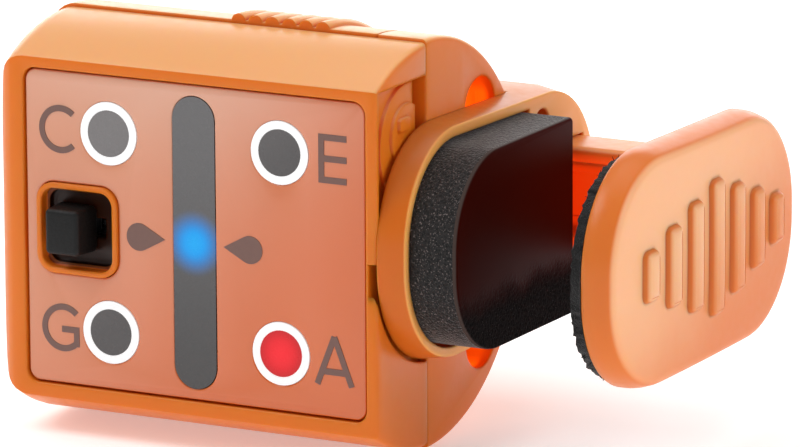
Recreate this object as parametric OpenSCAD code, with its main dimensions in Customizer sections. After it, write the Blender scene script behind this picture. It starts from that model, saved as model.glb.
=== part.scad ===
// Clip-on tuner. Millimetres, +Z up, +X from the fixed jaw to the moving jaw, -Y is the
// display side. The origin is on the fixed jaw's pad face, where a headstock rests, at the
// height of the body's axis and 9.3 behind the front.

/* [Body] */
// Length of the body along X, without the dome of its left end
body_len = 28.8; // [28:0.1:32]
// How far the left end bulges at its middle
left_dome = 0.9; // [0.2:0.1:1.2]
// Diameter of the round back of the front case
body_d = 27.6; // [27:0.1:30]
// Distance from the flat front to the axis of the round back
front_depth = 7.3; // [7:0.1:8]
// Distance from the flat front to the seam between the two cases
seam_depth = 7; // [6.8:0.1:7.2]
// Wall thickness of both cases
wall = 1.2; // [1:0.1:1.4]
// How far the rear case stands proud of the front case
rear_step = 0.2; // [0.1:0.05:0.3]

/* [Display] */
// Width of the display panel
panel_w = 25.9; // [25.5:0.1:26]
// Height of the display panel
panel_h = 21.5; // [21:0.1:22]
// Thickness of the display panel
panel_t = 1; // [0.8:0.1:1]
// Outer radius of a note ring
ring_r = 2.16; // [2:0.02:2.3]
// Radius of a note window
window_r = 1.6; // [1.4:0.05:1.7]
// Sideways distance from the meter to a note ring
note_dx = 6.54; // [6.2:0.02:6.8]
// Upward distance from the switch line to a note ring
note_dz = 6.84; // [6.6:0.02:7]
// Width of the meter window
meter_w = 3.2; // [2.8:0.1:3.4]
// Height of the meter window
meter_h = 20; // [19:0.1:20.2]
// Number of lamps in the meter
meter_lamps = 9; // [5:2:11]

/* [Switch] */
// Side of the square switch well
well_w = 5.5; // [5.4:0.1:5.8]
// Depth of the switch well
well_depth = 1.2; // [1:0.1:1.4]
// Travel of the switch knob
switch_travel = 1.2; // [0.8:0.1:1.3]

/* [Clip] */
// Gap between the two pads with the clip at rest
throat = 8.6; // [6:0.1:12]
// How far the moving jaw opens from rest
clip_travel = 12; // [8:0.5:13]
// Width of a jaw, front to back
jaw_w = 28.4; // [28:0.1:29]
// Height of a jaw at its front end
jaw_h = 16.2; // [15.6:0.1:16.4]
// Thickness of the pad on the fixed jaw
pad_t = 4.7; // [4:0.1:5]
// Thickness of the felt on the moving jaw
felt_t = 0.8; // [0.6:0.1:1]
// Thickness of the moving jaw at its middle
moving_jaw_t = 2.5; // [2.2:0.1:3]
// Height of the slide bar
bar_h = 7.3; // [7:0.1:7.6]
// Depth of the slide bar, front to back
bar_d = 3.9; // [3.6:0.1:4]

/* [Coin cell] */
// Diameter of the coin cell
cell_d = 20; // [20:0.1:20]
// Thickness of the coin cell
cell_t = 3.2; // [3.2:0.1:3.2]

/* [Hidden] */
$fn = 64;
gap = 0.1;                                  // air between two pieces that can be taken apart
skin = 0.02;                                // air between two pieces that are fitted tightly

// Planes of the body. The pad face is X = 0.
tray_floor_t = 0.7;
tray_rim_h = 1.2;
side_x = -pad_t - tray_floor_t;             // right side of the body, back of the fixed jaw
left_x = side_x - body_len;
front_y = -9.3;
axis_y = front_y + front_depth;             // axis of the round back
seam_y = front_y + seam_depth;
body_r = body_d / 2;
rear_r = body_r + rear_step;
left_round = 1.8;                           // rounding of the left end's rim
right_round = 0.3;
side_wall = 1.5;                            // the side next to the jaw is thicker
in_left = left_x + wall;
in_right = side_x - side_wall;

// Planes of the display
panel_margin = 0.95;                        // rim between the panel and the right side
panel_x = side_x - panel_margin - panel_w / 2;
panel_z = 0.1;
panel_y = front_y + 0.15;                   // outer face of the panel
panel_back = panel_y + panel_t;
face_back = panel_back + 1.2;               // inner face of the wall behind the panel
print_t = 0.04;
board_t = 1;
board_y = front_y + 4;                      // front face of the circuit board
board_back = board_y + board_t;
note_places = [for (sx = [-1, 1], sz = [-1, 1]) [panel_x + sx * note_dx, panel_z + sz * note_dz]];
lit_place = [panel_x + note_dx, panel_z - note_dz];
boss_places = [for (x = [left_x + 3.4, side_x - 3.8], z = [-9.6, 9.6]) [x, z]];

// Planes of the switch
well_x = panel_x - 9;
well_floor = front_y + well_depth;
knob_x = well_x - 0.5;                      // the knob rests at its left, switched on
stem_w = 1.2;
stem_h = 1;

// Planes of the clip; heights in it are counted from jaw_z
jaw_z = 0.4;                                // the clip sits a little above the body's axis
jaw_y0 = -9.3;
jaw_y1 = jaw_y0 + jaw_w;
jaw_taper = 0.6;                            // how much lower the jaw is at its rear end
jaw_r = 7.5;                                // corner radius at the front end
rim_x = side_x + tray_floor_t + tray_rim_h;
jaw_x = throat + felt_t;                    // inner face of the moving jaw
face_shift = [0.4, -0.4];                   // the moving jaw sits a little back and down, in Y and Z
pad_y0 = -8.3;
pad_y1 = 8.7;
pad_h = 13.6;
pad_r = 6.1;                                // corner radius at the pad's front end
mid_y = (jaw_y0 + jaw_y1) / 2;
bar_y = 13;                                 // front of the slide bar
slide_gap = 0.12;                           // air round the slide bar in the sleeve
sleeve_left = -31;
shoulder_x = side_x - 1.4;                  // where the springs push on the fixed sleeve
tail_x = sleeve_left + 0.3;
tail_t = 1.2;
spring_y = 14;
spring_z = 4.95;
spring_r = 1.05;
wire_r = 0.18;
rod_r = 0.6;
clip_screw_places = [for (x = [left_x + 8, side_x - 6], z = [-6.3, 6.3]) [x, jaw_z + z]];

// Planes of the coin cell
cell_x = panel_x - 0.6;
cell_y = 2.6;                               // face of the cell that looks at the board
plus_x = cell_x - cell_d / 2 - 0.9;         // the leaf beside the cell
cover_z = 8.6;                              // lower edge of the battery cover
cover_right = side_x - 3.6;
cover_gap = 0.15;

// ---------- helpers ----------
// Points of an arc in the profile plane
function arc(y, z, r, a0, a1, n) = [for (i = [0:n]) let (a = a0 + (a1 - a0) * i / n)
  [y + r * cos(a), z + r * sin(a)]];

// Outline of a flat D shape: corner radius and half height at each end, straight sides between
function d_shape(y0, y1, h0, h1, r0, r1, n = 16) =
  let (c0 = [y0 + r0, h0 - r0], c1 = [y1 - r1, h1 - r1], d = c1 - c0,
       tilt = atan2(d[1], d[0]) + acos((r0 - r1) / norm(d)), side = 180 - tilt,
       top = concat(arc(c1[0], c1[1], r1, 0, side, n), arc(c0[0], c0[1], r0, side, 180, n)),
       last = len(top) - 1)
  concat(top, [for (i = [0:last]) [top[last - i][0], -top[last - i][1]]]);

// Outline of a jaw, made smaller all round by inset
function jaw_outline(inset = 0) =
  d_shape(jaw_y0 + inset, jaw_y1 - inset, jaw_h / 2 - inset, (jaw_h - jaw_taper) / 2 - inset,
          jaw_r - inset, jaw_r - jaw_taper / 2 - inset);

module along_x(x0, x1) {
  translate([x0, 0, 0]) rotate([90, 0, 90]) linear_extrude(x1 - x0) children();
}
module along_y(y0, y1) {
  translate([0, y1, 0]) rotate([90, 0, 0]) linear_extrude(y1 - y0) children();
}
// The same for the clip, whose profiles are drawn about the clip's own middle
module clip_x(x0, x1) {
  translate([0, 0, jaw_z]) along_x(x0, x1) children();
}
module clip_rod(x0, x1, y, z, r) {
  rod_x(x0, x1, y, jaw_z + z, r);
}
module rod_x(x0, x1, y, z, r) {
  translate([x0, y, z]) rotate([0, 90, 0]) cylinder(h = x1 - x0, r = r);
}
module rod_y(y0, y1, x, z, r) {
  translate([x, y0, z]) rotate([-90, 0, 0]) cylinder(h = y1 - y0, r = r);
}
module block(lo, hi) {
  translate(lo) cube(hi - lo);
}
// Rectangle with true round corners, in the plane of the display
module round_rect(w, h, r) {
  square([w - 2 * r, h], center = true);
  square([w, h - 2 * r], center = true);
  for (x = [-1, 1], z = [-1, 1]) translate([x * (w / 2 - r), z * (h / 2 - r)]) circle(r);
}
// Rounded block in the plane of the display, at x, z
module tile(x, z, w, h, r, y0, y1) {
  along_y(y0, y1) translate([x, z]) round_rect(w, h, r);
}

// Whole outside of the body: a turned shape, cut by the flat front with its rounded corners
module body_solid(r) {
  far = 2 * r;
  intersection() {
    translate([0, axis_y, 0]) rotate([0, 90, 0]) rotate_extrude() body_profile(r);
    translate([0, 0, -far]) linear_extrude(2 * far) polygon(concat(
      [[side_x + 1, far], [left_x - 4, far]],
      arc(left_x + left_round - 0.65 * left_dome, front_y + left_round, left_round, 180, 270, 6),
      arc(side_x - right_round, front_y + right_round, right_round, 270, 360, 3)));
  }
}
// Half section of the turned shape, radius across and X up, with round rims and a domed left end
module body_profile(r) {
  polygon(concat(
    [for (i = [0:5]) [(r - left_round) * i / 6, left_x - left_dome * (1 - pow(i / 6, 2))]],
    [for (p = arc(r - left_round, left_x + left_round, left_round, 270, 360, 6)) p],
    [for (p = arc(r - right_round, side_x - right_round, right_round, 0, 90, 3)) p], [[0, side_x]]));
}
// Round cavity between two X planes, in front of or behind a Y plane
module cavity(x0, x1, y0, y1, r) {
  intersection() {
    rod_x(x0, x1, axis_y, 0, r);
    block([x0, y0, -r], [x1, y1, r]);
  }
}

// ---------- cases ----------
module front_case() color([0.93, 0.52, 0.22]) {
  difference() {
    intersection() {
      body_solid(body_r);
      block([left_x - 2, front_y - 1, -body_r], [side_x + 1, seam_y - 0.03, body_r]);
    }
    cavity(in_left, in_right, face_back, seam_y + 1, body_r - wall);
    tile(panel_x, panel_z, panel_w + 0.3, panel_h + 0.3, 0.95, front_y - 1, panel_back + skin);
    for (p = note_places) rod_y(panel_y, face_back + 1, p[0], p[1], window_r - 0.1);
    tile(panel_x, panel_z, meter_w - 0.4, meter_h - 0.4, meter_w / 2 - 0.21, panel_y, face_back + 1);
    tile(well_x, panel_z, well_w - 1, well_w - 1, 0.6, front_y, face_back + 1);
    side_recess();
  }
  switch_well();
  for (p = boss_places) difference() {
    rod_y(face_back - 0.2, board_y - gap, p[0], p[1], 1.3);
    rod_y(face_back + 0.2, board_y, p[0], p[1], 0.5);
  }
}
// Shallow recess in the side next to the jaw, with its pad of concentric steps and a deep slot
module side_recess() {
  disc_y = -3.9;
  disc_z = 7.4;
  difference() {
    along_x(side_x - 0.7, side_x + 1) union() {
      translate([front_y + 0.35, 0]) square([seam_depth, 11.6]);
      intersection() {
        translate([0, jaw_z]) polygon(jaw_outline(-0.25));
        translate([jaw_y0 - 1, -12]) square([seam_y - jaw_y0 + 1, 12.1]);
      }
    }
    rod_x(side_x - 1, side_x - 0.45, disc_y, disc_z, 4);
    rod_x(side_x - 1, side_x - 0.25, disc_y - 0.6, disc_z + 0.6, 2.1);
    along_x(side_x - 1, side_x) translate([disc_y - 1.2, disc_z + 1.4]) round_rect(1.5, 0.9, 0.25);
  }
  block([side_x - 1.1, seam_y - 1.1, 0], [side_x + 1, seam_y, 11.5]);
}
// Stepped well that the switch knob slides in
module switch_well() {
  difference() {
    union() {
      tile(well_x, panel_z, well_w + 0.7, well_w + 0.7, 1.3, panel_back - 0.1, face_back);
      tile(well_x, panel_z, well_w + 0.7, well_w + 0.7, 1.3, front_y - 0.05, panel_back);
    }
    tile(well_x, panel_z, well_w, well_w, 1, front_y - 1, well_floor - 0.5);
    tile(well_x, panel_z, well_w - 0.5, well_w - 0.5, 0.8, front_y - 1, well_floor);
    block([knob_x - stem_w / 2 - 0.3, well_floor - 1, panel_z - stem_h / 2 - 0.2],
          [knob_x + stem_w / 2 + switch_travel + 0.3, face_back + 1, panel_z + stem_h / 2 + 0.2]);
  }
}

module rear_case() color([0.94, 0.54, 0.24]) {
  slot_y = 5.4;
  slot_w = 4.4;
  slot_h = 20.2;
  difference() {
    intersection() {
      body_solid(rear_r);
      block([left_x - 2, seam_y + 0.03, -rear_r], [side_x + 1, rear_r + 1, rear_r]);
    }
    cavity(in_left, in_right, seam_y - 1, rear_r, rear_r - wall);
    along_x(in_right - 1, side_x + 1) translate([slot_y, 0]) round_rect(slot_w, slot_h, slot_w / 2 - 0.01);
    block([left_x - 2, seam_y - 1, cover_z], [cover_right, rear_r + 1, rear_r + 1]);
    for (x = hook_places) block([x - 3.4, 4, cover_z - 1.5], [x - 0.2, 9, cover_z + 1]);
    for (p = clip_screw_places) rod_y(6, rear_r + 1, p[0], p[1], 0.7);
  }
  // floor of the slot, just inside the wall
  intersection() {
    block([in_right - 1, seam_y + 0.1, -rear_r], [in_right - 0.4, 10, rear_r]);
    rod_x(in_right - 1, in_right - 0.4, axis_y, 0, rear_r - 0.5);
  }
}
hook_places = [cell_x - 6, cell_x + 6];

// Upper rear part of the round back. It slides to the left and lifts off.
module battery_cover() color([0.95, 0.56, 0.26]) {
  rib_count = 6;
  rib_pitch = 1.29;
  rib_x = panel_x - 0.4;
  difference() {
    intersection() {
      body_solid(rear_r);
      block([left_x - 2, seam_y + cover_gap, cover_z + cover_gap],
            [cover_right - cover_gap, rear_r, rear_r + 1]);
    }
    cavity(in_left, side_x, seam_y - 1, rear_r, rear_r - wall);
  }
  for (x = hook_places) block([x, 6.3, cover_z - 1.2], [x + 2.6, 6.9, cover_z + 1.2]);
  for (i = [0:rib_count - 1]) intersection() {
    translate([rib_x + i * rib_pitch, axis_y, 0]) rotate([0, 90, 0])
      rotate_extrude() translate([rear_r - 0.1, 0]) circle(0.55);
    block([rib_x - 1, seam_y + cover_gap, cover_z + 2], [rib_x + 9, 5.5, rear_r + 2]);
  }
}

// ---------- display ----------
module display_panel() color([0.89, 0.62, 0.5]) {
  difference() {
    tile(panel_x, panel_z, panel_w, panel_h, 0.8, panel_y, panel_back);
    for (p = note_places) rod_y(panel_y - 1, panel_back + 1, p[0], p[1], ring_r + skin);
    tile(panel_x, panel_z, meter_w + 2 * skin, meter_h + 2 * skin, meter_w / 2, panel_y - 1, panel_back + 1);
    tile(well_x, panel_z, well_w + 0.8, well_w + 0.8, 1.35, panel_y - 1, panel_back + 1);
  }
}
module meter_window() color([0.36, 0.36, 0.37]) {
  tile(panel_x, panel_z, meter_w, meter_h, meter_w / 2 - 0.01, panel_y, panel_back);
}
module note_window(p) {
  rod_y(panel_y, panel_back, p[0], p[1], window_r - skin);
}
module note_windows() color([0.42, 0.42, 0.42]) {
  for (p = note_places) if (p != lit_place) note_window(p);
}
module note_window_lit() color([1, 0.24, 0.27]) {
  note_window(lit_place);
}
module note_rings() color([0.97, 0.97, 0.97]) {
  for (p = note_places) difference() {
    rod_y(panel_y, panel_back, p[0], p[1], ring_r);
    rod_y(panel_y - 1, panel_back + 1, p[0], p[1], window_r);
  }
}
// Monoline note letters, built from bars and ring arcs
letter_h = 3.3;
stroke = 0.42;
module bar(x0, z0, x1, z1) {
  len = norm([x1 - x0, z1 - z0]);
  translate([x0, z0]) rotate(atan2(z1 - z0, x1 - x0)) translate([0, -stroke / 2]) square([len, stroke]);
}
module open_ring(opening) {
  r = letter_h / 2;
  difference() {
    circle(r);
    circle(r - stroke);
    polygon([[0, 0], 2 * r * [cos(opening), sin(opening)], [2 * r, 2 * r], [2 * r, -2 * r],
             2 * r * [cos(opening), -sin(opening)]]);
  }
}
module letter_c() {
  translate([0.3, 0]) open_ring(48);
}
module letter_g() {
  translate([0.2, 0]) open_ring(44);
  bar(0.1, -0.1, 1.45, -0.1);
  bar(1.24, -0.1, 1.24, -1.25);
}
module letter_e() {
  translate([-1, -letter_h / 2]) square([stroke, letter_h]);
  for (z = [-letter_h / 2, -stroke / 2, letter_h / 2 - stroke]) translate([-1, z]) square([2.1, stroke]);
}
module letter_a() {
  bar(-1.3, -letter_h / 2, 0, letter_h / 2);
  bar(0, letter_h / 2, 1.3, -letter_h / 2);
  bar(-0.85, -0.75, 0.85, -0.75);
}
module note_letters() color([0.62, 0.5, 0.46]) {
  along_y(panel_y - print_t, panel_y) {
    translate([panel_x - 10.55, panel_z + 6.8]) letter_c();
    translate([panel_x - 10.45, panel_z - 6.9]) letter_g();
    translate([panel_x + 10.5, panel_z + 6.8]) letter_e();
    translate([panel_x + 10.6, panel_z - 6.9]) letter_a();
  }
}
// A drop on each side, pointing at the middle of the meter
module pitch_marks() color([0.58, 0.46, 0.42]) {
  r = 0.95;
  tip = 2;
  flank = [0.45, 0.835];                    // where the straight flank meets the round end
  along_y(panel_y - print_t, panel_y) for (turn = [0, 180]) translate([panel_x, panel_z])
    rotate(turn) translate([4.25, 0]) {
      circle(r);
      polygon([[0, 0], [-flank[0], flank[1]], [-tip, 0], [-flank[0], -flank[1]]]);
    }
}

// ---------- switch ----------
module switch_knob() color([0.1, 0.1, 0.1]) {
  base = [3, 3.2];
  front = [2.4, 2.9];
  hull() {
    tile(knob_x, panel_z, front[0] - 0.4, front[1] - 0.4, 0.3, front_y - 1.3, front_y - 1.2);
    tile(knob_x, panel_z, front[0], front[1], 0.4, front_y - 1.1, front_y - 1);
    tile(knob_x, panel_z, base[0], base[1], 0.4, well_floor - 0.2, well_floor - 0.1);
  }
  tile(knob_x, panel_z, stem_w, stem_h, 0.2, well_floor - 0.2, board_y - 0.75);
}
module switch_body() color([0.7, 0.71, 0.73]) {
  slot = switch_travel + stem_w + 0.6;
  difference() {
    block([knob_x - 3.4, board_y - 1.6, panel_z - 1.8], [knob_x + 4.6, board_y - skin, panel_z + 1.8]);
    block([knob_x - stem_w / 2 - 0.3, board_y - 2, panel_z - stem_h / 2 - 0.2],
          [knob_x - stem_w / 2 - 0.3 + slot, board_y - 0.6, panel_z + stem_h / 2 + 0.2]);
  }
}

// ---------- electronics ----------
// Black mask that keeps each lamp's light to its own window
module light_mask() color([0.08, 0.08, 0.08]) {
  y0 = face_back + gap;
  y1 = board_y - gap;
  difference() {
    block([left_x + 5, y0, -10.2], [side_x - 5.4, y1, 10.4]);
    for (p = note_places) rod_y(y0 - 1, y1 + 1, p[0], p[1], window_r - 0.1);
    tile(panel_x, panel_z, meter_w - 0.6, meter_h - 0.8, 1.2, y0 - 1, y1 + 1);
    block([left_x, y0 - 1, panel_z - 2.1], [knob_x + 4.9, y1 + 1, panel_z + 2.1]);
  }
}
module circuit_board() color([0.1, 0.36, 0.2]) {
  difference() {
    block([in_left + 0.4, board_y, -10.8], [in_right - 1.3, board_back, 10.8]);
    for (p = boss_places) rod_y(board_y - 1, board_back + 1, p[0], p[1], 0.65);
  }
}
lamp_pitch = 2.1;
module lamp(x, z) {
  block([x - 0.8, board_y - 0.7, z - 0.5], [x + 0.8, board_y, z + 0.5]);
}
module meter_leds() color([0.3, 0.6, 1]) {
  for (i = [0:meter_lamps - 1]) lamp(panel_x, panel_z + (i - (meter_lamps - 1) / 2) * lamp_pitch);
}
module note_leds() color([1, 0.4, 0.35]) {
  for (p = note_places) lamp(p[0], p[1]);
}
module tuner_chip() color([0.12, 0.12, 0.13]) {
  block([panel_x - 7, board_back, -1], [panel_x, board_back + 1, 6]);
}
module small_parts() color([0.75, 0.68, 0.5]) {
  crystal_x = panel_x + 3.5;
  rod_x(crystal_x, crystal_x + 5, board_back + 0.75, 4.5, 0.7);
  for (i = [0:4]) block([panel_x - 8 + 2.6 * i, board_back, -6.6], [panel_x - 6.8 + 2.6 * i, board_back + 0.6, -5]);
}
module board_screws() color([0.72, 0.73, 0.75]) {
  for (p = boss_places) {
    rod_y(board_back, board_back + 0.6, p[0], p[1], 1.1);
    rod_y(face_back + 0.4, board_back, p[0], p[1], 0.46);
  }
}
// Vibration sensor on the wall that touches the jaw
piezo_y = -2.9;
module piezo_disc() color([0.8, 0.66, 0.3]) {
  rod_x(in_right - 0.35, in_right - 0.05, piezo_y, 0, 3.9);
}
module piezo_leads() color([0.75, 0.1, 0.1]) {
  for (z = [-0.7, 0.7]) {
    rod_x(in_right - 2.2, in_right - 0.4, board_back + 0.5, z, 0.2);
    rod_y(board_back + 0.02, board_back + 0.5, in_right - 2.2, z, 0.2);
  }
}
module battery_tray() color([0.16, 0.16, 0.17]) {
  difference() {
    block([in_left + 0.6, 0.4, -10], [in_right - 1.3, 1.2, 10]);
    block([cell_x - 3.5, 0, -2.5], [cell_x + 3.5, 2, 2.5]);
    block([plus_x - 0.2, 0, -2.3], [plus_x + 0.5, 2, 2.3]);
  }
}
module coin_cell() color([0.78, 0.78, 0.79]) {
  can = 0.6;
  rod_y(cell_y + can, cell_y + cell_t, cell_x, 0, cell_d / 2);
  rod_y(cell_y, cell_y + can, cell_x, 0, cell_d / 2 - 1.1);
}
module contact_plus() color([0.8, 0.76, 0.6]) {
  y = cell_y + cell_t;
  block([plus_x, y + 0.02, -2], [cell_x, y + 0.27, 2]);
  block([plus_x, board_back + skin, -2], [plus_x + 0.25, y + 0.02, 2]);
}
module contact_minus() color([0.8, 0.76, 0.6]) {
  block([cell_x - 3, cell_y - 0.3, -1.5], [cell_x + 3, cell_y - 0.05, 1.5]);
  block([cell_x + 2.75, board_back + skin, -1.5], [cell_x + 3, cell_y - 0.3, 1.5]);
}

// ---------- fixed side of the clip ----------
module clip_frame() color([0.91, 0.49, 0.18]) {
  difference() {
    union() {
      tray();
      difference() {
        clip_x(sleeve_left, side_x) sleeve_section(0);
        rod_x(sleeve_left - 1, side_x, axis_y, 0, rear_r + 0.05);
      }
    }
    // seat of the pad
    clip_x(side_x + tray_floor_t, rim_x + 1) intersection() {
      polygon(jaw_outline(0.95));
      translate([jaw_y0, -jaw_h]) square([pad_y1 + 0.3 - jaw_y0, 2 * jaw_h]);
    }
    // slot behind the pad
    clip_x(side_x + 0.5, rim_x + 1) translate([10.8, 0]) round_rect(2.4, 13.2, 1.19);
    // window and channel of the slide bar
    clip_x(sleeve_left - 1, rim_x + 1) translate([bar_y - slide_gap, -bar_h / 2 - slide_gap])
      square([bar_d + 2 * slide_gap, bar_h + 2 * slide_gap]);
    // room for the springs and the tail plate
    clip_x(sleeve_left - 1, shoulder_x) sleeve_room();
    for (z = [-1, 1]) clip_rod(shoulder_x - 1, side_x + 0.3, spring_y, z * spring_z, rod_r + skin);
    for (p = clip_screw_places) rod_y(8, bar_y - 0.5, p[0], p[1], 0.62);
  }
}
// Dish of the fixed jaw, a little smaller at its rim
module tray() {
  draft = 0.965;
  translate([side_x, mid_y, jaw_z]) rotate([90, 0, 90]) linear_extrude(rim_x - side_x, scale = draft)
    translate([-mid_y, 0]) polygon(jaw_outline());
}
module sleeve_section(inset) {
  intersection() {
    polygon(jaw_outline(inset));
    translate([8.5, -jaw_h]) square([jaw_y1, 2 * jaw_h]);
  }
}
module sleeve_room(inset = 1, y = bar_y - slide_gap) {
  intersection() {
    polygon(jaw_outline(inset));
    translate([y, -jaw_h]) square([bar_y + bar_d + slide_gap + 0.4 - y, 2 * jaw_h]);
  }
}
module sleeve_cap() color([0.91, 0.49, 0.18]) {
  plug = 0.15;
  difference() {
    clip_x(sleeve_left - 1, sleeve_left - skin) sleeve_section(0);
    rod_x(sleeve_left - 2, side_x, axis_y, 0, rear_r + 0.05);
    for (z = [-1, 1]) clip_rod(sleeve_left - 0.6, sleeve_left + 1, spring_y, z * spring_z, rod_r + skin);
  }
  clip_x(sleeve_left - 0.1, sleeve_left + plug) difference() {
    sleeve_room(1.1, bar_y);
    for (z = [-1, 1]) translate([spring_y, z * spring_z]) circle(rod_r + skin);
  }
}
module clip_screws() color([0.72, 0.73, 0.75]) {
  for (p = clip_screw_places) {
    inside = axis_y + sqrt(pow(rear_r - wall, 2) - pow(abs(p[1]) + 1.1, 2));
    rod_y(inside - 0.7, inside - 0.02, p[0], p[1], 1.1);
    rod_y(inside - 0.1, bar_y - 0.6, p[0], p[1], 0.6);
  }
}
module guide_rods() color([0.72, 0.73, 0.75]) {
  for (z = [-1, 1]) clip_rod(sleeve_left - 0.55, side_x + 0.2, spring_y, z * spring_z, rod_r);
}
// Closed outer form of the two coil springs
module clip_springs() color([0.62, 0.63, 0.66]) {
  for (z = [-1, 1]) difference() {
    clip_rod(tail_x + tail_t + skin, shoulder_x - skin, spring_y, z * spring_z, spring_r);
    clip_rod(tail_x, side_x, spring_y, z * spring_z, spring_r - 2 * wire_r);
  }
}
module pad_section(inset = 0) {
  half = pad_h / 2 - inset;
  polygon(d_shape(pad_y0 + inset, pad_y1 - inset, half, half, pad_r - inset, 0.4));
}
module jaw_pad() color([0.16, 0.15, 0.16]) {
  clip_x(side_x + tray_floor_t, -0.3) pad_section();
}
module jaw_pad_skin() color([0.2, 0.02, 0.01]) {
  clip_x(-0.3, 0) pad_section(0.1);
}

// ---------- moving side of the clip ----------
// Channel bar, open towards the front, with concave flanks beside its web
module bar_section() {
  lip = 1;
  web = 1.7;
  flank_r = 1.7;
  difference() {
    translate([bar_y + bar_d / 2, 0]) round_rect(bar_d, bar_h, 0.4);
    translate([bar_y - 1, -bar_h / 2 + lip + 1.1]) square([web + 1, bar_h - 2 * lip - 2.2]);
    for (s = [-1, 1]) intersection() {
      translate([bar_y, s * (bar_h / 2 - lip - flank_r)]) circle(flank_r);
      translate([bar_y - 2, -bar_h / 2]) square([web + 2, bar_h]);
    }
  }
}
module slide_bar() color([0.96, 0.4, 0.14]) {
  difference() {
    union() {
      clip_x(tail_x + tail_t, jaw_x - skin) bar_section();
      clip_x(jaw_x - 1, jaw_x + 1.2) tenon();
    }
    for (z = [-1, 1]) clip_rod(tail_x, tail_x + tail_t + 4, bar_y + bar_d / 2, z * 2.6, 0.42);
  }
}
module tenon(grow = 0) {
  translate([bar_y + bar_d / 2, 0]) round_rect(2.6 + 2 * grow, 5.6 + 2 * grow, 0.4);
}
module tail_plate() color([0.68, 0.69, 0.72]) {
  difference() {
    clip_x(tail_x, tail_x + tail_t - skin) sleeve_room(1.25, bar_y);
    for (z = [-1, 1]) {
      clip_rod(tail_x - 1, tail_x + 3, spring_y, z * spring_z, rod_r + 0.06);
      clip_rod(tail_x - 1, tail_x + 3, bar_y + bar_d / 2, z * 2.6, 0.45);
      clip_rod(tail_x - 1, tail_x + 0.5, bar_y + bar_d / 2, z * 2.6, 0.85);
    }
  }
}
module tail_screws() color([0.6, 0.61, 0.64]) {
  for (z = [-1, 1]) {
    clip_rod(tail_x + 0.05, tail_x + 0.48, bar_y + bar_d / 2, z * 2.6, 0.8);
    clip_rod(tail_x + 0.4, tail_x + tail_t + 3.5, bar_y + bar_d / 2, z * 2.6, 0.4);
  }
}
// Crowned outer jaw with a row of raised bars
module moving_jaw() color([0.93, 0.52, 0.22]) {
  crown_r = 260;
  bar_w = 2;
  bar_pitch = 3.2;
  bar_mid = mid_y + 1.2;
  bar_tops = [3.6, 5.6, 7.6, 9.4, 7.6, 5.6, 3.6];
  difference() {
    intersection() {
      clip_x(jaw_x, jaw_x + moving_jaw_t) translate(face_shift) polygon(jaw_outline());
      translate([jaw_x + moving_jaw_t - crown_r, mid_y, jaw_z]) sphere(crown_r, $fn = 400);
    }
    clip_x(jaw_x - 1, jaw_x + 1.3) tenon(skin);
  }
  for (i = [0:6]) clip_x(jaw_x + 1.5, jaw_x + moving_jaw_t + 0.5)
    translate([bar_mid + (i - 3) * bar_pitch, face_shift[1]]) round_rect(bar_w, bar_tops[i], 0.6);
}
module felt_pad() color([0.06, 0.06, 0.06]) {
  clip_x(throat, jaw_x - skin) intersection() {
    translate(face_shift - [0.5, 0]) polygon(jaw_outline(0.5));
    translate([jaw_y0 - 1, -jaw_h]) square([bar_y - 0.6 - jaw_y0 + 1, 2 * jaw_h]);
  }
}

front_case();
rear_case();
battery_cover();
display_panel();
meter_window();
note_windows();
note_window_lit();
note_rings();
note_letters();
pitch_marks();
switch_knob();
switch_body();
light_mask();
circuit_board();
meter_leds();
note_leds();
tuner_chip();
small_parts();
board_screws();
piezo_disc();
piezo_leads();
battery_tray();
coin_cell();
contact_plus();
contact_minus();
clip_frame();
clip_screws();
sleeve_cap();
guide_rods();
clip_springs();
jaw_pad();
jaw_pad_skin();
slide_bar();
tail_plate();
tail_screws();
moving_jaw();
felt_pad();
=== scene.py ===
import math
import random

import bmesh
import bpy
from mathutils import Matrix, Vector


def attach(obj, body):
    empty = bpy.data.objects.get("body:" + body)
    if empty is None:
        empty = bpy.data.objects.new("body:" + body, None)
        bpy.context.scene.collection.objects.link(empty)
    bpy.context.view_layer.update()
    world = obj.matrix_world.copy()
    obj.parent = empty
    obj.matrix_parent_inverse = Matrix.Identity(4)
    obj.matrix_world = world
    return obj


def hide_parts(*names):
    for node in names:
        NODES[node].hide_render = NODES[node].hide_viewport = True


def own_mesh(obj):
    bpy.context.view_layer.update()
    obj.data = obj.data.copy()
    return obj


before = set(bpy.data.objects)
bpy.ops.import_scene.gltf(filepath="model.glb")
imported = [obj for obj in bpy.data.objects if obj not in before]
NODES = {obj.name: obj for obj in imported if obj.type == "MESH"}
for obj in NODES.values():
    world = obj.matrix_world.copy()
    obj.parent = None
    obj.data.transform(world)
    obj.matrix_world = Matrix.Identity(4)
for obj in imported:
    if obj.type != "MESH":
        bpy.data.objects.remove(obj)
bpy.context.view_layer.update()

# Clip-on tuner. +X from the fixed jaw to the moving jaw, -Y out of the display, +Z up.
# Blender's lengths are metres. The values below are millimetres.
MM = 0.001
BODY_Y = -2.0               # axis of the round body
PANEL = (-19.3, 0.1)        # middle of the display, X and Z
SWITCH_X = -28.8            # middle of the knob
WELL_X = SWITCH_X + 0.5     # middle of its well
RED_NOTE = (-12.76, -6.74)  # middle of the lit note window, X and Z
CLIP_Z = 0.4                # height of the clip's middle
PAD_FRONT, PAD_REAR = -8.3, 8.7
JAW_FRONT, JAW_REAR = -8.9, 19.5
JAW_X = 9.4                 # inner face of the moving jaw
JAW_T = 2.5                 # its thickness
JAW_MID_Y = 4.9
JAW_Z = 0.0                 # height of the moving jaw's middle
CROWN_R = 260               # radius of its crowned outer face
FLOOR_Z = -14.3


# ---------- modelling ----------
def deselect():
    if bpy.context.object and bpy.context.object.mode != "OBJECT":
        bpy.ops.object.mode_set(mode="OBJECT")
    bpy.ops.object.select_all(action="DESELECT")


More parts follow.
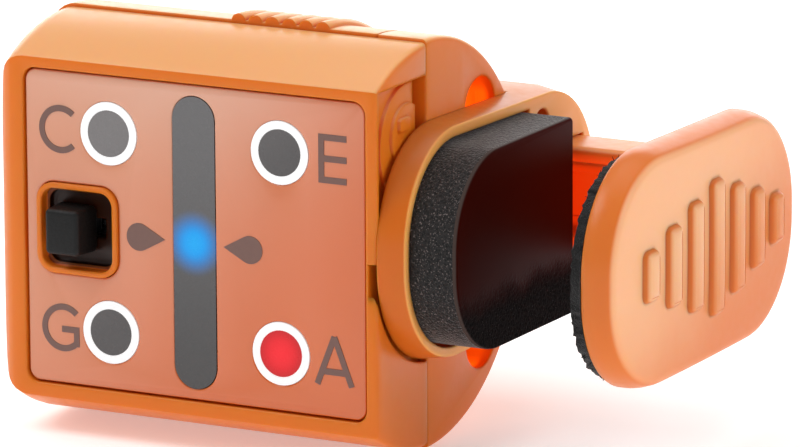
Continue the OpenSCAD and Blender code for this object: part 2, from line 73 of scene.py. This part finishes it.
def choose(obj):
    deselect()
    obj.select_set(True)
    bpy.context.view_layer.objects.active = obj


def start(add, name, place, scale, turn=(0, 0, 0), **how):
    """A primitive at its place and stretched to its size, in millimetres, left in edit mode."""
    deselect()
    add(location=Vector(place) * MM, rotation=turn, **how)
    obj = bpy.context.object
    obj.name = obj.data.name = name
    bpy.ops.object.transform_apply(location=False, rotation=True, scale=False)
    bpy.ops.object.mode_set(mode="EDIT")
    bpy.ops.transform.resize(value=Vector(scale) * MM, center_override=Vector(place) * MM)
    return obj


def pick(obj, kind, test):
    """Selects the vertices, edges or faces whose points all pass the test, in millimetres."""
    bpy.ops.mesh.select_mode(type=kind)
    bpy.ops.mesh.select_all(action="DESELECT")
    mesh = bmesh.from_edit_mesh(obj.data)
    for part in {"VERT": mesh.verts, "EDGE": mesh.edges, "FACE": mesh.faces}[kind]:
        corners = [part] if kind == "VERT" else part.verts
        if all(test(*((obj.matrix_world @ v.co) / MM)) for v in corners):
            part.select_set(True)
    mesh.select_flush_mode()
    bmesh.update_edit_mesh(obj.data)


def push(x=0, y=0, z=0):
    """Extrudes what is selected and moves it."""
    bpy.ops.mesh.extrude_region_move(TRANSFORM_OT_translate={"value": Vector((x, y, z)) * MM})


def round_off(width, segments, corners=False):
    bpy.ops.mesh.bevel(offset=width * MM, segments=segments, affect="VERTICES" if corners else "EDGES")


def close_up(obj, smooth=35):
    """Leaves edit mode with clean outward normals, and puts the piece's place in its mesh."""
    bpy.ops.mesh.select_all(action="SELECT")
    bpy.ops.mesh.remove_doubles(threshold=1e-7)
    bpy.ops.mesh.normals_make_consistent(inside=False)
    choose(obj)
    bpy.ops.object.transform_apply(location=True, rotation=True, scale=True)
    bpy.ops.object.shade_smooth_by_angle(angle=math.radians(smooth))
    return obj


def modify(obj, kind, **settings):
    choose(obj)
    modifier = obj.modifiers.new(kind.title(), kind)
    for key, value in settings.items():
        setattr(modifier, key, value)
    bpy.ops.object.modifier_apply(modifier=modifier.name)


def join(name, *pieces):
    choose(pieces[0])
    for piece in pieces:
        piece.select_set(True)
    bpy.ops.object.join()
    pieces[0].name = pieces[0].data.name = name
    return pieces[0]


def seat(obj, body, slot, finish, *stands_for):
    """Gives a finished piece its body and its finish, and hides the solids that it stands for. Its slot is
    not used.
    """
    obj.data.materials.clear()
    obj.data.materials.append(finish)
    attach(obj, body)
    if stands_for:
        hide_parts(*stands_for)
    return obj


def moulded(node, name, edge):
    """A moulded piece: the solid's own shape with its hard edges rounded off."""
    source = NODES[node]
    obj = source.copy()
    obj.data = source.data.copy()
    for key in list(obj.keys()):
        del obj[key]
    obj.parent = None
    obj.name = obj.data.name = name
    bpy.context.scene.collection.objects.link(obj)
    choose(obj)
    bpy.ops.mesh.customdata_custom_splitnormals_clear()
    bpy.ops.object.mode_set(mode="EDIT")
    bpy.ops.mesh.select_all(action="SELECT")
    bpy.ops.mesh.remove_doubles(threshold=3e-6)
    bpy.ops.mesh.dissolve_limited(angle_limit=math.radians(0.6))
    deselect()
    modify(obj, "BEVEL", width=edge * MM, segments=3, limit_method="ANGLE", angle_limit=math.radians(32))
    choose(obj)
    bpy.ops.object.shade_smooth_by_angle(angle=math.radians(35))
    return obj


# ---------- finishes ----------
class Wire:
    """One output of a shader node. Sums with it add the Math nodes that they need."""

    def __init__(self, finish, socket):
        self.finish, self.socket = finish, socket

    def sum(self, operation, first, second):
        return self.finish.node("ShaderNodeMath", {"operation": operation}, {0: first, 1: second})

    def __add__(self, other):
        return self.sum("ADD", self, other)

    def __sub__(self, other):
        return self.sum("SUBTRACT", self, other)

    def __rsub__(self, other):
        return self.sum("SUBTRACT", other, self)

    def __mul__(self, other):
        return self.sum("MULTIPLY", self, other)

    def __truediv__(self, other):
        return self.sum("DIVIDE", self, other)

    def __pow__(self, other):
        return self.sum("POWER", self, other)

    __radd__ = __add__
    __rmul__ = __mul__


class Finish:
    """A material with one Principled shader, whose constants are set on its own sockets."""

    def __init__(self, name, **constants):
        self.material = bpy.data.materials.new(name)
        self.material.use_nodes = True
        self.tree = self.material.node_tree
        self.shader = self.tree.nodes["Principled BSDF"]
        for key, value in constants.items():
            self.shader.inputs[key.replace("_", " ").title().replace("Ior", "IOR")].default_value = value
        self.place = self.node("ShaderNodeTexCoord", {}, {}, "Object")
        self.x, self.y, self.z = (Wire(self, out) / MM for out in self.parts(self.place))

    def node(self, kind, settings, sockets, out=0):
        node = self.tree.nodes.new(kind)
        for key, value in settings.items():
            setattr(node, key, value)
        for key, value in sockets.items():
            if isinstance(value, Wire):
                self.tree.links.new(value.socket, node.inputs[key])
            else:
                node.inputs[key].default_value = value
        return Wire(self, node.outputs[out])

    def parts(self, vector):
        return self.node("ShaderNodeSeparateXYZ", {}, {0: vector}).socket.node.outputs

    def noise(self, size, detail=2, rough=0.5, stretch=(1, 1, 1)):
        """Soft noise from 0 to 1 with features of a size in millimetres."""
        place = self.node("ShaderNodeMapping", {}, {"Vector": self.place, "Scale": stretch})
        return self.node("ShaderNodeTexNoise", {}, {"Vector": place, "Scale": 1 / (size * MM),
                                                    "Detail": detail, "Roughness": rough})

    def cells(self, size):
        """Distance from the middles of round cells of a size in millimetres."""
        sockets = {"Vector": self.place, "Scale": 1 / (size * MM)}
        return self.node("ShaderNodeTexVoronoi", {}, sockets, "Distance")

    def rise(self, value, low, high, to_low=0, to_high=1):
        """Smooth step from to_low at low to to_high at high."""
        return self.node("ShaderNodeMapRange", {"interpolation_type": "SMOOTHSTEP"},
                         {"Value": value, "From Min": low, "From Max": high,
                          "To Min": to_low, "To Max": to_high})

    def mix(self, share, low, high):
        """Colour that goes from low to high with share."""
        sockets = {0: share, 6: low, 7: high}
        return self.node("ShaderNodeMix", {"data_type": "RGBA"}, sockets, 2)

    def set(self, socket, value):
        if isinstance(value, Wire):
            self.tree.links.new(value.socket, self.shader.inputs[socket])
        else:
            self.shader.inputs[socket].default_value = value

    def facing(self, axis):
        """How squarely the surface faces along an axis: 0 for X, 1 for Y, 2 for Z."""
        return Wire(self, self.parts(self.node("ShaderNodeNewGeometry", {}, {}, "Normal"))[axis])

    def away(self, point):
        """Distance in millimetres from a point, given by its X and Z."""
        return ((self.x - point[0]) ** 2 + (self.z - point[1]) ** 2) ** 0.5

    def bump(self, height, depth, strength, edge=None):
        """Surface relief, its depth in millimetres. Edges may look rounded by a radius."""
        sockets = {"Height": height, "Distance": depth * MM, "Strength": strength}
        if edge:
            sockets["Normal"] = self.node("ShaderNodeBevel", {"samples": 6}, {"Radius": edge * MM})
        self.set("Normal", self.node("ShaderNodeBump", {}, sockets, "Normal"))
        return self.material


def rgb(red, green, blue):
    """A colour given in the 0 to 255 steps of a screen, as linear light."""
    return tuple((c / 255 / 12.92 if c <= 10 else ((c / 255 + 0.055) / 1.055) ** 2.4)
                 for c in (red, green, blue)) + (1,)


def slot_inside(f):
    """The hollow behind the slot in the rear case, where a painted glow goes."""
    depth = f.rise(f.x, -5.7, -6.3) * f.rise(f.x, -16, -12)
    return depth * f.rise(f.y, -1.5, 0) * f.rise(((f.y - BODY_Y) ** 2 + f.z ** 2) ** 0.5, 13.2, 12.7)


def well_bottom(f):
    """The lower step and the floor of the switch's well, which stay in shadow."""
    across = ((f.x - WELL_X) ** 2) ** 0.5
    upward = ((f.z - PANEL[1]) ** 2) ** 0.5
    depth = f.rise(f.y, -8.8, -8.5) * f.rise(f.y, -6, -6.5)
    return depth * f.rise(across, 2.7, 2.6) * f.rise(upward, 2.7, 2.6)


def channel_front(f):
    """The web of the bar, where it faces the display side and a painted glow goes."""
    return f.rise(f.facing(1), -0.6, -0.9) * f.rise(f.z, 3.9, 3.1)


def upper_side(low, high):
    """Surfaces that face up, from one height to another, where a painted wash of light lies."""
    return lambda f, clouds: f.rise(f.z + 3 * clouds, low, high) * f.rise(f.facing(2), 0.1, 0.8)


def jaw_outside(f, clouds):
    """The outer face of the moving jaw, where a painted wash of light lies, fading towards its lower rear
    corner.
    """
    return f.rise(0.55 * f.z - 0.3 * f.y + 3 * clouds, -6, 4) * f.rise(f.facing(0), 0.55, 0.92)


def orange_plastic(name, mid, corner_shade, painted_wash, where_painted_wash, glow, painted_glow_strength, where_lit=slot_inside, rim=None):
    """Translucent orange ABS: light soaks into it. Painted shade deepens it to red-orange in corners, with a
    faint painted glow there, and a painted shadow darkens the switch's well. Parts facing the light get a
    painted pale wash, parts a painted glow, and a thin rim a painted highlight."""
    f = Finish(name, subsurface_weight=0.35, subsurface_radius=(1.0, 0.32, 0.08), subsurface_scale=0.0018,
               specular_ior_level=0.27, emission_strength=painted_glow_strength)
    clouds = f.noise(9, 3)
    open_air = f.node("ShaderNodeAmbientOcclusion", {"samples": 8, "only_local": True},
                      {"Distance": 1.8 * MM}, "AO")
    # painted shade: corners found by ambient occlusion turn deep red-orange
    shaded_corners = f.rise(1 - open_air, 0.2, 0.85)
    body = f.mix(clouds, rgb(*mid), rgb(*[0.965 * c for c in mid]))
    # painted light: a pale wash where the surface faces the light
    body = f.mix(where_painted_wash(f, clouds), body, rgb(*painted_wash))
    # painted highlight: a pale line along the clip's thin rim
    if rim:
        body = f.mix(f.rise(f.x, *rim), body, rgb(240, 162, 84))
    shadow = well_bottom(f)
    f.set("Base Color", f.mix(shadow, f.mix(shaded_corners * 0.9, body, rgb(*corner_shade)), rgb(44, 18, 6)))
    # painted glow, though no lamp is there: faint in the corners, strong where marked as lit
    f.set("Emission Color", f.mix(shaded_corners * (1 - shadow) * 0.1 + where_lit(f), (0, 0, 0, 1), rgb(*glow)))
    f.set("Roughness", f.rise(f.noise(0.7, 3), 0.2, 0.8, 0.28, 0.38))
    return f.bump(f.noise(3.2, 2) + 0.12 * f.noise(0.16, 2), 0.012, 0.35, edge=0.28)


def display_glass(name):
    """Frosted warm panel, with a painted reflection that makes it paler towards its upper left."""
    f = Finish(name, coat_weight=0.7, coat_roughness=0.05, subsurface_weight=0.15,
               subsurface_radius=(1, 0.4, 0.2), subsurface_scale=0.001)
    # painted reflection: pale at the upper left, orange at the lower right
    slope = f.rise(f.x * 0.5 - f.z * 0.45, -16.5, -2.5)
    haze = f.noise(6, 2) * 0.1
    edge = f.rise(f.x * 0.25 + f.z, -4, 8)
    pale = f.mix(edge, rgb(213, 137, 100), rgb(218, 162, 135))
    f.set("Base Color", f.mix(slope + haze - 0.05, pale, rgb(211, 97, 24)))
    f.set("Roughness", f.rise(f.noise(0.4, 2), 0.3, 0.7, 0.2, 0.25))
    return f.bump(f.noise(0.09, 2), 0.002, 0.2)


def window_glass(name, low, high, lamp=None, tilted=False):
    """Smoked window, with a painted reflection that makes it paler towards its top. A lamp behind it shows as
    its outer and inner colour, middle, reach and strength.
    """
    f = Finish(name, coat_weight=0.6, coat_roughness=0.05, specular_ior_level=0.3)
    # painted reflection: the tint gets paler upwards, and for a tilted window also towards the left
    slope = f.rise(f.z - (f.x - PANEL[0]) * 0.9, -2, 14) if tilted else f.rise(f.z, -10, 10)
    tint = f.mix(slope, rgb(*low), rgb(*high))
    f.set("Base Color", tint)
    f.set("Roughness", f.rise(f.noise(0.5, 2), 0.3, 0.7, 0.22, 0.32))
    if lamp:
        colour, bright, middle, reach, strength = lamp
        spot = f.rise(f.away(middle), reach, 0.25 * reach)
        core = f.rise(f.away(middle), 0.75 * reach, 0)
        f.set("Base Color", f.mix(spot, tint, rgb(*[0.25 * c for c in colour])))
        f.set("Emission Color", f.mix(spot, (0, 0, 0, 1), f.mix(core, rgb(*colour), rgb(*bright))))
        f.set("Emission Strength", strength)
        f.set("Coat Weight", f.rise(spot, 0, 1, 0.6, 0.05))
    return f.bump(f.noise(0.2, 2), 0.004, 0.3)


def satin(name, colour, dark, rough, grain, depth, **constants):
    """A plain finish with a grain of its own size, for small parts."""
    f = Finish(name, **constants)
    speck = f.noise(grain, 3)
    f.set("Base Color", f.mix(speck, rgb(*dark), rgb(*colour)))
    f.set("Roughness", f.rise(speck, 0.3, 0.7, rough - 0.06, rough + 0.08))
    return f.bump(speck, depth, 0.6)


def foam(name):
    """Fine closed-cell foam: small pits darkened by painted shade, with paler walls and painted glints."""
    f = Finish(name, specular_ior_level=0.35, sheen_weight=0.35, sheen_roughness=0.3)
    pits, fine = f.cells(0.22), f.cells(0.11)
    # painted shade in the pits, and painted glints as pale specks
    wall = f.rise(pits * 0.7 + fine * 0.5, 0.45, 0.85)
    painted_glints = f.rise(f.noise(0.13, 2, 0.7), 0.58, 0.68)
    f.set("Base Color", f.mix(painted_glints, f.mix(wall, rgb(5, 4, 4), rgb(20, 17, 17)), rgb(110, 100, 98)))
    f.set("Roughness", f.rise(pits, 0.1, 0.6, 0.85, 0.6))
    return f.bump(pits + 0.6 * fine, 0.08, 0.8)


def pad_skin(name):
    """Smooth dark skin of the pad, worn to bare foam along its lower part and grey at its edge. The bare foam
    has painted shade in its pits and painted glints.
    """
    f = Finish(name, specular_ior_level=0.03)
    pits = f.cells(0.22)
    bare = f.rise(f.z + 1.6 * f.noise(2.2, 3), -0.6, -3.2)
    # the worn bare foam: painted glints as pale specks, and painted shade in the pits
    painted_glints = f.rise(f.noise(0.12, 2, 0.7), 0.62, 0.72)
    rubbed_with_painted_shade_and_glints = f.mix(painted_glints, f.mix(f.rise(pits, 0.2, 0.6), rgb(6, 5, 5), rgb(24, 20, 20)), rgb(78, 72, 72))
    warm = f.mix(f.rise(f.y, -7, 8), rgb(48, 5, 1), rgb(62, 4, 0))
    edge = f.rise(f.x, -0.02, -0.12)
    f.set("Base Color", f.mix(edge, f.mix(bare, warm, rubbed_with_painted_shade_and_glints), rgb(70, 58, 54)))
    f.set("Roughness", f.rise(bare, 0, 1, 0.42, 0.85))
    return f.bump(pits * bare, 0.1, 0.8)


def felt_cloth(name):
    """Black pressed felt with streaks of lint."""
    f = Finish(name, sheen_weight=0.25, sheen_roughness=0.5, specular_ior_level=0.2)
    lint = f.noise(0.14, 4, 0.75)
    f.set("Base Color", f.mix(lint, rgb(5, 4, 4), rgb(24, 22, 22)))
    f.set("Roughness", f.rise(lint, 0, 1, 0.85, 1))
    return f.bump(lint + 0.7 * f.noise(0.5, 3, stretch=(1, 3, 1)), 0.12, 0.9)


case_orange = orange_plastic("case_orange", mid=(226, 118, 24), corner_shade=(196, 56, 4), painted_wash=(236, 168, 110),
                             where_painted_wash=upper_side(5, 13), glow=(255, 104, 8), painted_glow_strength=0.7)
clip_orange = orange_plastic("clip_orange", mid=(214, 106, 20), corner_shade=(196, 56, 2), painted_wash=(200, 114, 46),
                             where_painted_wash=upper_side(4, 10), glow=(255, 84, 0), painted_glow_strength=0.5, rim=(-3.72, -3.55))
jaw_orange = orange_plastic("jaw_orange", mid=(222, 118, 44), corner_shade=(206, 74, 8), painted_wash=(238, 174, 126),
                            where_painted_wash=jaw_outside, glow=(255, 84, 0), painted_glow_strength=0.5)
bar_orange = orange_plastic("bar_orange", mid=(228, 108, 40), corner_shade=(244, 62, 6), painted_wash=(228, 140, 80),
                            where_painted_wash=upper_side(3, 6), glow=(255, 50, 0), painted_glow_strength=0.55,
                            where_lit=channel_front)
panel_glass = display_glass("panel_glass")
smoked = window_glass("smoked_meter", (58, 56, 56), (94, 92, 93),
                      ((0, 140, 232), (0, 168, 244), PANEL, 2.4, 0.95))
smoked_notes = window_glass("smoked_notes", (70, 66, 66), (114, 110, 110), tilted=True)
lit_red = window_glass("lit_red", (150, 12, 18), (156, 14, 20),
                       ((214, 8, 20), (255, 34, 46), RED_NOTE, 3, 0.9))
# painted glow: the white print shines a little, though it is no lamp
white_print = satin("white_print", (250, 250, 250), (242, 242, 242), 0.4, 0.3, 0.004,
                    emission_strength=0.12, emission_color=(1, 1, 1, 1))
grey_print = satin("grey_print", (118, 84, 74), (106, 74, 66), 0.35, 0.4, 0.004)
knob_black = satin("knob_black", (13, 12, 12), (6, 6, 6), 0.55, 0.16, 0.03, specular_ior_level=0.3)
mask_black = satin("mask_black", (30, 30, 31), (20, 20, 21), 0.6, 0.2, 0.02)
board_green = satin("board_green", (26, 98, 58), (18, 74, 42), 0.4, 0.8, 0.02)
lamp_resin = satin("lamp_resin", (238, 232, 205), (220, 212, 180), 0.3, 0.5, 0.01)
chip_black = satin("chip_black", (36, 36, 38), (26, 26, 28), 0.55, 0.12, 0.01)
ceramic = satin("ceramic", (196, 176, 138), (176, 154, 116), 0.4, 0.4, 0.01)
steel = satin("steel", (196, 198, 202), (168, 170, 174), 0.28, 0.3, 0.006, metallic=1.0)
spring_wire = satin("spring_wire", (150, 152, 158), (120, 122, 128), 0.32, 0.2, 0.006, metallic=1.0)
cell_case = satin("cell_case", (206, 206, 208), (184, 184, 186), 0.22, 1.2, 0.004, metallic=1.0)
contact = satin("contact", (212, 196, 150), (190, 172, 126), 0.26, 0.6, 0.006, metallic=1.0)
brass = satin("brass", (204, 164, 84), (182, 142, 66), 0.3, 0.6, 0.006, metallic=1.0)
lead_red = satin("lead_red", (196, 28, 24), (168, 20, 18), 0.42, 0.3, 0.01)
pad_foam = foam("pad_foam")
pad_face = pad_skin("pad_face")
felt_black = felt_cloth("felt_black")

# Finishes of the solids that show as they are
AS_THEY_ARE = {
    "meter_window": smoked, "note_windows": smoked_notes, "note_window_lit": lit_red,
    "note_rings": white_print, "note_letters": grey_print, "pitch_marks": grey_print,
    "switch_body": steel, "light_mask": mask_black, "circuit_board": board_green,
    "meter_leds": lamp_resin, "note_leds": lamp_resin, "tuner_chip": chip_black, "small_parts": ceramic,
    "board_screws": steel, "piezo_disc": brass, "piezo_leads": lead_red, "battery_tray": mask_black,
    "coin_cell": cell_case, "contact_plus": contact, "contact_minus": contact, "clip_screws": steel,
    "guide_rods": steel, "tail_plate": steel, "tail_screws": steel,
}
for node, finish in AS_THEY_ARE.items():
    NODES[node].data.materials.clear()
    NODES[node].data.materials.append(finish)


# ---------- moulded cases ----------
def cases():
    seat(moulded("front_case", "front_shell", 0.22), "case", "case_plastic", case_orange, "front_case")
    seat(moulded("rear_case", "rear_shell", 0.22), "case", "case_plastic", case_orange, "rear_case")
    seat(moulded("battery_cover", "rear_door", 0.2), "cover", "case_plastic", case_orange, "battery_cover")
    seat(moulded("display_panel", "panel", 0.12), "case", "panel_plastic", panel_glass, "display_panel")
    seat(moulded("clip_frame", "clip_body", 0.25), "case", "case_plastic", clip_orange, "clip_frame")
    seat(moulded("sleeve_cap", "clip_end", 0.2), "case", "case_plastic", clip_orange, "sleeve_cap")
    seat(moulded("slide_bar", "sliding_bar", 0.25), "jaw", "case_plastic", bar_orange, "slide_bar")


# ---------- jaws and pads ----------
def jaw_blank(name, x, y0, y1, half_front, half_rear, corner_front, corner_rear, middle, steps):
    """Flat outline of a jaw or its pad at one X: round at the front, a little lower at the rear."""
    obj = start(bpy.ops.mesh.primitive_plane_add, name, (x, (y0 + y1) / 2, middle),
                (1, y1 - y0, 2 * half_front), turn=(0, math.pi / 2, 0), size=1)
    pick(obj, "VERT", lambda px, py, pz: py > y0 + 1)
    bpy.ops.transform.resize(value=(1, 1, half_rear / half_front),
                             center_override=Vector((x, y1, middle)) * MM)
    round_off(corner_rear, steps, corners=True)
    pick(obj, "VERT", lambda px, py, pz: py < y0 + 0.01)
    round_off(corner_front, steps, corners=True)
    bpy.ops.mesh.select_all(action="SELECT")
    return obj


def slice_up(ys, zs):
    """Cuts the whole piece into a grid, so that it can follow a curve."""
    for normal, cuts, axis in (((0, 1, 0), ys, 1), ((0, 0, 1), zs, 2)):
        for cut in cuts:
            at = [0, 0, 0]
            at[axis] = cut * MM
            bpy.ops.mesh.select_all(action="SELECT")
            bpy.ops.mesh.bisect(plane_co=at, plane_no=normal)


def spread(low, high, step):
    """Places of evenly spaced cuts, about a step apart, between two ends."""
    count = max(1, round((high - low) / step))
    return [low + (high - low) * i / count for i in range(1, count)]


def crown(obj):
    """Sinks the outer face of the jaw towards its ends, as on a large ball."""
    for v in obj.data.vertices:
        share = min(1, max(0, (v.co.x / MM - JAW_X) / JAW_T))
        sink = ((v.co.y / MM - JAW_MID_Y) ** 2 + (v.co.z / MM - CLIP_Z) ** 2) / (2 * CROWN_R)
        v.co.x -= share * sink * MM


def jaw_bar(y, height):
    """One raised bar of the motif, half sunk into the plate."""
    bar = start(bpy.ops.mesh.primitive_cube_add, "jaw_bar", (JAW_X + 2.0, y, JAW_Z), (2, 2, height), size=1)
    pick(bar, "EDGE", lambda px, py, pz: abs(py - y) > 0.9 and abs(pz - JAW_Z) > height / 2 - 0.1)
    round_off(0.6, 5)
    pick(bar, "EDGE", lambda px, py, pz: px > JAW_X + 2.99)
    round_off(0.18, 4)
    slice_up([y], spread(JAW_Z - height / 2, JAW_Z + height / 2, 1.4))
    close_up(bar, 50)
    crown(bar)
    return bar


def outer_jaw():
    step_x = 1.1                # the side leans in from here outwards
    plate = jaw_blank("outer_jaw", JAW_X, JAW_FRONT, JAW_REAR, 8.1, 7.8, 7.5, 7.2, JAW_Z, steps=20)
    push(x=step_x)
    push(x=JAW_T - step_x)
    bpy.ops.transform.resize(value=(1, 0.972, 0.952),
                             center_override=Vector((0, JAW_MID_Y + 0.4, JAW_Z)) * MM)
    pick(plate, "EDGE", lambda px, py, pz: px > JAW_X + JAW_T - 0.01)
    round_off(0.5, 5)
    pick(plate, "EDGE", lambda px, py, pz: abs(px - JAW_X - step_x) < 0.01)
    round_off(0.4, 4)
    pick(plate, "EDGE", lambda px, py, pz: px < JAW_X + 0.01)
    round_off(0.15, 2)
    slice_up(spread(JAW_FRONT, JAW_REAR, 1.1), spread(-8.1, 8.1, 1.1))
    close_up(plate, 50)
    crown(plate)
    heights = (3.6, 5.6, 7.6, 9.4, 7.6, 5.6, 3.6)
    pitch = 3.2
    bars = [jaw_bar(JAW_MID_Y + 1.2 + (i - 3) * pitch, height) for i, height in enumerate(heights)]
    seat(join("outer_jaw", plate, *bars), "jaw", "case_plastic", jaw_orange, "moving_jaw")


def felt():
    """Felt on the moving jaw, with a ragged cut edge and loose fibres."""
    random.seed(7)
    rear, round_y = 12.3, -2    # its straight end, and the middle of its round end
    pad = jaw_blank("felt", 8.62, JAW_FRONT, rear, 7.45, 7.3, 6.9, 0.4, JAW_Z, steps=40)
    push(x=0.74)
    bpy.ops.mesh.select_all(action="SELECT")
    slice_up(spread(JAW_FRONT, rear, 0.5), spread(JAW_Z - 7.5, JAW_Z + 7.5, 0.5))
    close_up(pad, 60)
    for v in pad.data.vertices:
        y, z = v.co.y / MM, v.co.z / MM - JAW_Z
        if v.co.x / MM < 9:
            v.co.x += random.uniform(0, 0.12) * MM
        rim = abs(z) / 7.4 if y > round_y else math.hypot(y - round_y, z) / 7.2
        if rim > 0.93 and y < 12:
            v.co.y += random.uniform(-0.1, 0.1) * MM
            v.co.z += random.uniform(-0.1, 0.1) * MM
    fibres = []
    for i in range(150):
        angle = math.radians(random.uniform(75, 285))
        if i % 2:
            y, z = random.uniform(round_y, 11.5), random.choice((-7.4, 7.35))
        else:
            y = round_y + 6.9 * math.cos(angle)
            z = math.copysign(0.55, math.sin(angle)) + 6.9 * math.sin(angle)
        out = Vector((0, min(0, y - round_y), z)).normalized()
        lean = Vector((random.uniform(-0.7, 0.5), random.uniform(-0.5, 0.5), random.uniform(-0.5, 0.5)))
        fibre = start(bpy.ops.mesh.primitive_cone_add, "fibre", (random.uniform(8.7, 9.25), y, z + JAW_Z),
                      (1, 1, 1), turn=(out + lean).to_track_quat("Z", "Y").to_euler(),
                      vertices=3, radius1=0.05, radius2=0.01, depth=random.uniform(0.25, 0.5))
        fibres.append(close_up(fibre))
    pad = join("felt", pad, *fibres)
    seat(pad, "jaw", "felt", felt_black, "felt_pad")


def foam_block():
    """The foam on the fixed jaw and its smooth skin, whose face is at X = 0."""
    outline = (PAD_FRONT, PAD_REAR, 6.8, 6.8, 6.1, 0.4, CLIP_Z)
    back, skin = -4.68, 0.3
    block = jaw_blank("foam_block", back, *outline, steps=24)
    push(x=-skin - back)
    slice_up(spread(PAD_FRONT, PAD_REAR, 0.8), spread(CLIP_Z - 6.8, CLIP_Z + 6.8, 0.8))
    close_up(block, 40)
    seat(block, "case", "pad_foam", pad_foam, "jaw_pad")
    face = jaw_blank("foam_skin", -skin, *outline, steps=24)
    push(x=skin)
    pick(face, "EDGE", lambda px, py, pz: px > -0.01)
    round_off(0.2, 4)
    close_up(face, 40)
    seat(face, "case", "pad_face", pad_face, "jaw_pad_skin")


# ---------- small moving pieces ----------
def knob():
    """The switch's knob, a little narrower at its top, with the stem that goes into the well."""
    cap = start(bpy.ops.mesh.primitive_cube_add, "knob", (SWITCH_X, -9.35, PANEL[1]), (3, 2.5, 3.2), size=1)
    pick(cap, "FACE", lambda px, py, pz: py < -10.5)
    bpy.ops.transform.resize(value=(0.84, 1, 0.97), center_override=Vector((SWITCH_X, -10.6, PANEL[1])) * MM)
    pick(cap, "FACE", lambda px, py, pz: py > -8.15)
    bpy.ops.mesh.inset(thickness=0.95 * MM)
    push(y=2.05)
    pick(cap, "EDGE", lambda px, py, pz: py < -8.05)
    round_off(0.32, 5)
    close_up(cap, 40)
    seat(cap, "knob", "black_plastic", knob_black, "switch_knob")


def springs():
    """The two coil springs round their guide rods. On the real clip they close up as the jaw opens; these
    keep one length.
    """
    left, right = -29.46, -6.85
    turns, coil, wire = 22, 0.86, 0.17
    pitch = (right - left - 2 * wire) / turns
    for side, name in ((1, "spring_upper"), (-1, "spring_lower")):
        y, z = 14.0, CLIP_Z + side * 4.95
        obj = start(bpy.ops.mesh.primitive_circle_add, name, (left + wire, 0, coil), (1000, 1000, 1000),
                    turn=(math.pi / 2, 0, 0), radius=wire * MM, vertices=8, fill_type="NOTHING")
        deselect()
        choose(obj)
        bpy.ops.object.transform_apply(location=True, rotation=True, scale=True)
        modify(obj, "SCREW", axis="X", angle=math.tau, screw_offset=pitch * MM, iterations=turns, steps=18,
               render_steps=18, use_merge_vertices=False)
        bpy.ops.object.mode_set(mode="EDIT")
        bpy.ops.mesh.select_all(action="DESELECT")
        bpy.ops.mesh.select_non_manifold()
        bpy.ops.mesh.fill()
        bpy.ops.mesh.select_all(action="SELECT")
        bpy.ops.transform.translate(value=Vector((0, y, z)) * MM)
        close_up(obj, 60)
        seat(obj, "case", "spring_steel", spring_wire)
        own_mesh(obj)
        if side == 1:
            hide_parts("clip_springs")


cases()
outer_jaw()
felt()
foam_block()
knob()
springs()


# ---------- studio ----------
def lay_floor():
    deselect()
    bpy.ops.mesh.primitive_plane_add(size=6, location=(0, 0, FLOOR_Z * MM))
    floor = bpy.context.object
    floor.name = "floor"
    paint = Finish("floor_paint", roughness=0.7, specular_ior_level=0.1, emission_strength=0.32,
                   emission_color=(1, 1, 1, 1))
    paint.set("Base Color", paint.mix(paint.noise(60, 2), (0.93, 0.93, 0.93, 1), (0.96, 0.96, 0.96, 1)))
    floor.data.materials.append(paint.material)


def light_up():
    """Soft white surroundings and four panels of light. Places and sizes are metres."""
    world = bpy.data.worlds.new("studio")
    world.use_nodes = True
    world.node_tree.nodes["Background"].inputs[0].default_value = (1, 1, 1, 1)
    world.node_tree.nodes["Background"].inputs[1].default_value = 0.4
    bpy.context.scene.world = world
    for name, place, size, power in (
            ("key", (-0.28, -0.2, 0.45), (0.35, 0.25), 1.35),
            ("over", (0, 0.1, 0.5), (0.4, 0.4), 0.7),
            ("fill", (0.55, 0.08, 0.3), (0.3, 0.4), 1.2),
            ("back", (-0.28, 0.53, 0.16), (0.7, 0.3), 1.6)):
        bpy.ops.object.light_add(type="AREA", location=place)
        light = bpy.context.object
        light.name = name
        light.data.shape = "RECTANGLE"
        light.data.size, light.data.size_y = size
        light.data.energy = power
        light.rotation_euler = (-Vector(place)).to_track_quat("-Z", "Y").to_euler()


def set_camera():
    """A long lens, turned from the front towards the clip and looking a little down."""
    azimuth, elevation, roll = (math.radians(a) for a in (28.25, 13.0, -0.30))
    distance, shift_right, shift_up = 513.33, 13.78, 1.46
    back = Vector((math.sin(azimuth) * math.cos(elevation), -math.cos(azimuth) * math.cos(elevation),
                   math.sin(elevation)))
    side = Vector((0, 0, 1)).cross(back).normalized()
    up = back.cross(side)
    right = math.cos(roll) * side + math.sin(roll) * up
    top = -math.sin(roll) * side + math.cos(roll) * up
    eye = Vector((PANEL[0], -9.3, 0)) + distance * back + shift_right * right + shift_up * top
    camera_data = bpy.data.cameras.new("camera")
    camera_data.lens, camera_data.sensor_width = 346.5, 36
    camera_data.clip_start, camera_data.clip_end = 0.01, 20
    camera = bpy.data.objects.new("camera", camera_data)
    bpy.context.scene.collection.objects.link(camera)
    camera.matrix_world = Matrix.Translation(eye * MM) @ Matrix((right, top, back)).transposed().to_4x4()
    bpy.context.scene.camera = camera
    bpy.context.scene.view_settings.view_transform = "Standard"


lay_floor()
light_up()
set_camera()
